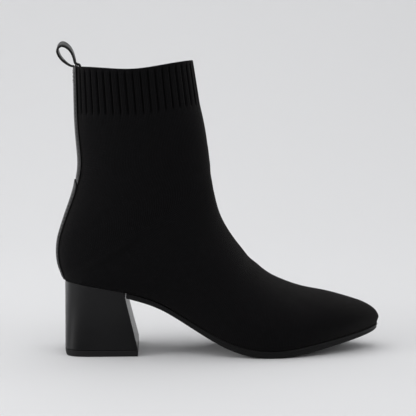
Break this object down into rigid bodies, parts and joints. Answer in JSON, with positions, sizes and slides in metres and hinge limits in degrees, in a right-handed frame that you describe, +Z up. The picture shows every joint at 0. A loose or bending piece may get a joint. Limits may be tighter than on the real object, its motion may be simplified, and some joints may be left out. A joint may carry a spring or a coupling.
{
  "type": "knit ankle boot",
  "caption": "Black knit ankle boot for the right foot, with a ribbed cuff, leather back strip, pull loop, pointed toe and flared block heel.",
  "frame": {"origin": "on the floor under the middle of the boot's bounding box", "axes": "+X points to the toe, +Y to the inner side of the foot, +Z up"},
  "size_m": [0.2461, 0.0861, 0.2322],
  "materials": {
    "knit": "fine matt stretch knit, ribbed at the cuff",
    "leather": "smooth black leather, semi-gloss",
    "heel_cover": "smooth black leather cover, soft gloss",
    "sole": "satin black moulded sole",
    "rubber": "matt black rubber lift",
    "lining": "matt dark footbed"
  },
  "bodies": {
    "root": {"upper": "knit", "outsole": "sole", "insole": "lining", "heel": "heel_cover", "heel_tip": "rubber", "back_strip": "leather", "heel_strip": "leather", "pull_loop": "leather"}
  },
  "joints": []
}
